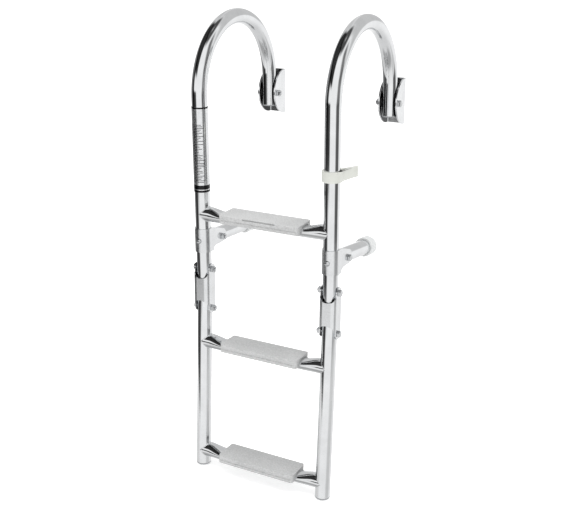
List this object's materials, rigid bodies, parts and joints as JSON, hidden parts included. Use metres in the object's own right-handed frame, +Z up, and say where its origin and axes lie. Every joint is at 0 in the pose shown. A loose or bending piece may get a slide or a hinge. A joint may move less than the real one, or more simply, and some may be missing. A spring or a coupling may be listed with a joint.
{
  "type": "boat boarding ladder",
  "caption": "Folding stainless boarding ladder: hooked tube stiles hung from hull brackets, clip-on treads, hinged lower section, swing-up standoff arms with bumpers.",
  "frame": {"origin": "in the plane of the two bracket backs, midway between the brackets and level with the bolts that the ladder hangs on", "axes": "+X to the climber's right, +Y from the ladder towards the hull, +Z up along the upper stiles"},
  "size_m": [0.2771, 0.312, 0.7771],
  "materials": {
    "polished_stainless_tube": "mirror-polished 316 stainless tube",
    "formed_stainless": "polished pressed stainless sheet with fine handling marks",
    "stainless_fasteners": "turned and pressed stainless, satin",
    "grey_tread_plastic": "light grey moulded plastic with a fine non-slip grain",
    "off_white_clip_plastic": "warm off-white moulded plastic, semi-gloss",
    "white_bumpers": "white moulded soft plastic, satin",
    "grey_plugs": "grey moulded plastic",
    "nylon": "black nylon",
    "printed_label": "silver film printed with plain dark bars and rings, no lettering"
  },
  "bodies": {
    "mount_brackets": {"left_mount_bracket": "formed_stainless", "left_mount_bolt": "stainless_fasteners", "left_mount_nut": "stainless_fasteners", "left_inner_washer": "nylon", "left_outer_washer": "nylon", "right_mount_bracket": "formed_stainless", "right_mount_bolt": "stainless_fasteners", "right_mount_nut": "stainless_fasteners", "right_inner_washer": "nylon", "right_outer_washer": "nylon"},
    "upper_section": {"left_upper_rail": "polished_stainless_tube", "left_hook_plug": "grey_plugs", "left_upper_joint_plug": "grey_plugs", "left_standoff_collar": "formed_stainless", "left_collar_rivet": "stainless_fasteners", "left_standoff_bolt": "stainless_fasteners", "left_standoff_nut": "stainless_fasteners", "right_upper_rail": "polished_stainless_tube", "right_hook_plug": "grey_plugs", "right_upper_joint_plug": "grey_plugs", "right_standoff_collar": "formed_stainless", "right_collar_rivet": "stainless_fasteners", "right_standoff_bolt": "stainless_fasteners", "right_standoff_nut": "stainless_fasteners", "top_rung": "polished_stainless_tube", "top_tread": "grey_tread_plastic", "label_sleeve": "printed_label"},
    "left_standoff": {"left_standoff_arm": "polished_stainless_tube", "left_bumper": "white_bumpers"},
    "right_standoff": {"right_standoff_arm": "polished_stainless_tube", "right_bumper": "white_bumpers"},
    "storage_clip": {"storage_clip": "off_white_clip_plastic"},
    "hinge_links": {"left_hinge_channel": "formed_stainless", "left_upper_hinge_bolt": "stainless_fasteners", "left_upper_hinge_nut": "stainless_fasteners", "left_lower_hinge_bolt": "stainless_fasteners", "left_lower_hinge_nut": "stainless_fasteners", "right_hinge_channel": "formed_stainless", "right_upper_hinge_bolt": "stainless_fasteners", "right_upper_hinge_nut": "stainless_fasteners", "right_lower_hinge_bolt": "stainless_fasteners", "right_lower_hinge_nut": "stainless_fasteners"},
    "lower_section": {"left_lower_rail": "polished_stainless_tube", "left_lower_joint_plug": "grey_plugs", "left_foot_plug": "grey_plugs", "right_lower_rail": "polished_stainless_tube", "right_lower_joint_plug": "grey_plugs", "right_foot_plug": "grey_plugs", "mid_rung": "polished_stainless_tube", "mid_tread": "grey_tread_plastic", "bottom_rung": "polished_stainless_tube", "bottom_tread": "grey_tread_plastic"}
  },
  "joints": [
    {"name": "mount_pivot", "type": "hinge", "parent": "mount_brackets", "child": "upper_section", "pos_m": [0, -0.033, 0], "axis": [1, 0, 0], "range_deg": [-20, 0]},
    {"name": "left_standoff_pivot", "type": "hinge", "parent": "upper_section", "child": "left_standoff", "pos_m": [-0.116, -0.23, -0.213], "axis": [1, 0, 0], "range_deg": [0, 95]},
    {"name": "right_standoff_pivot", "type": "hinge", "parent": "upper_section", "child": "right_standoff", "pos_m": [0.116, -0.23, -0.213], "axis": [1, 0, 0], "range_deg": [0, 99]},
    {"name": "upper_fold", "type": "hinge", "parent": "upper_section", "child": "hinge_links", "pos_m": [0, -0.266, -0.26], "axis": [1, 0, 0], "range_deg": [-88.5, 1.5]},
    {"name": "lower_fold", "type": "hinge", "parent": "hinge_links", "child": "lower_section", "pos_m": [0, -0.26781, -0.32898], "axis": [1, 0, 0], "range_deg": [-87.6, 2.4]},
    {"name": "clip_swivel", "type": "hinge", "parent": "upper_section", "child": "storage_clip", "pos_m": [0.116, -0.266, -0.073], "axis": [0, 0, 1], "continuous": true}
  ]
}
